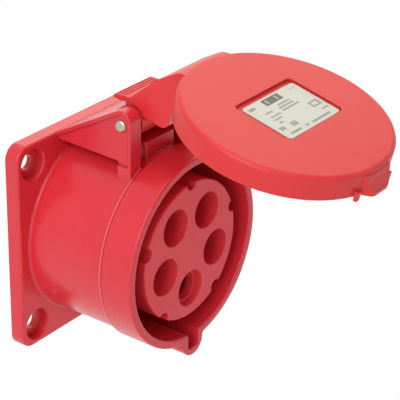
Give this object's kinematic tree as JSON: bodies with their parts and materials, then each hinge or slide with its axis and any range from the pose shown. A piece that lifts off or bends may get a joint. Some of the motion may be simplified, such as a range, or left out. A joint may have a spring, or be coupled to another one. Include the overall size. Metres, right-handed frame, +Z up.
{
  "type": "industrial panel socket",
  "caption": "Red square-flanged industrial panel socket with a round shroud, keyway, five-pole contact insert and a sprung hinged lid standing open.",
  "frame": {"origin": "centre of the four fixing holes, on the back face of the flange", "axes": "+Z up, towards the hinge; the mouth looks along -Y, so +Y points into the panel; +X is to the right seen from the front"},
  "size_m": [0.075, 0.1304, 0.108],
  "materials": {
    "housing_plastic": "injection-moulded glass-filled polyamide, satin gloss",
    "lid_plastic": "injection-moulded glass-filled polyamide, satin gloss",
    "insert_plastic": "injection-moulded polyamide, matt",
    "carrier_plastic": "black moulded polyamide, matt",
    "label_film": "off-white printed polyester film",
    "seal_rubber": "moulded black rubber",
    "pin_steel": "drawn stainless rod, cut ends",
    "spring_steel": "coiled spring steel wire",
    "contact_brass": "turned brass, nickel flash",
    "screw_steel": "zinc-plated steel"
  },
  "bodies": {
    "housing": {"housing": "housing_plastic", "hinge_pin": "pin_steel", "lid_spring": "spring_steel", "contact_insert": "insert_plastic", "terminal_carrier": "carrier_plastic", "flange_gasket": "seal_rubber", "contact_line_1": "contact_brass", "contact_line_2": "contact_brass", "contact_line_3": "contact_brass", "contact_neutral": "contact_brass", "contact_earth": "contact_brass", "sleeve_ring_line_1": "spring_steel", "sleeve_ring_line_2": "spring_steel", "sleeve_ring_line_3": "spring_steel", "sleeve_ring_neutral": "spring_steel", "sleeve_ring_earth": "spring_steel", "clamp_screw_line_1": "screw_steel", "clamp_screw_line_2": "screw_steel", "clamp_screw_line_3": "screw_steel", "clamp_screw_neutral": "screw_steel", "clamp_screw_earth": "screw_steel", "insert_screw_1": "screw_steel", "insert_screw_2": "screw_steel", "carrier_screw_1": "screw_steel", "carrier_screw_2": "screw_steel", "carrier_screw_3": "screw_steel"},
    "lid": {"lid": "lid_plastic", "lid_label": "label_film", "lid_gasket": "seal_rubber"}
  },
  "joints": [
    {"name": "lid_hinge", "type": "hinge", "parent": "housing", "child": "lid", "pos_m": [0, -0.0316, 0.0467], "axis": [1, 0, 0], "range_deg": [-24, 75.93]}
  ]
}
